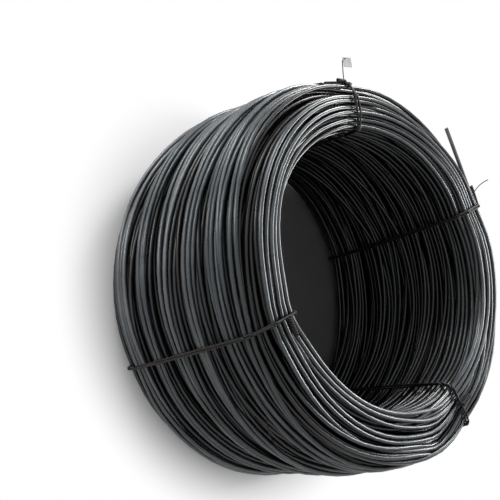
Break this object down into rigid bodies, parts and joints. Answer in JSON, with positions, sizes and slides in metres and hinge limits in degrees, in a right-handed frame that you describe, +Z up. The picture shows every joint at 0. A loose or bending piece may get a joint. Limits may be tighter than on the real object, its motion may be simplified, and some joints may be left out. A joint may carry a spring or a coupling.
{
  "type": "coil of wire rod",
  "caption": "Coil of steel wire rod standing on its end, its turns lying in bundles round an open eye, bound by doubled tie wires with twisted knots and a blank tag.",
  "frame": {"origin": "centre of the eye at half the coil's length", "axes": "+Z up, the eye along Z with the open end that the picture shows on top"},
  "size_m": [1.2066, 1.2498, 0.6394],
  "materials": {
    "rod": "dark mill scale with a satin sheen",
    "tie_wire": "black annealed, dull",
    "tag": "white, matt, blank"
  },
  "bodies": {
    "root": {"rod_coil": "rod", "tie_top": "tie_wire", "tie_left": "tie_wire", "tie_right": "tie_wire", "tie_bottom": "tie_wire", "tag": "tag"}
  },
  "joints": []
}
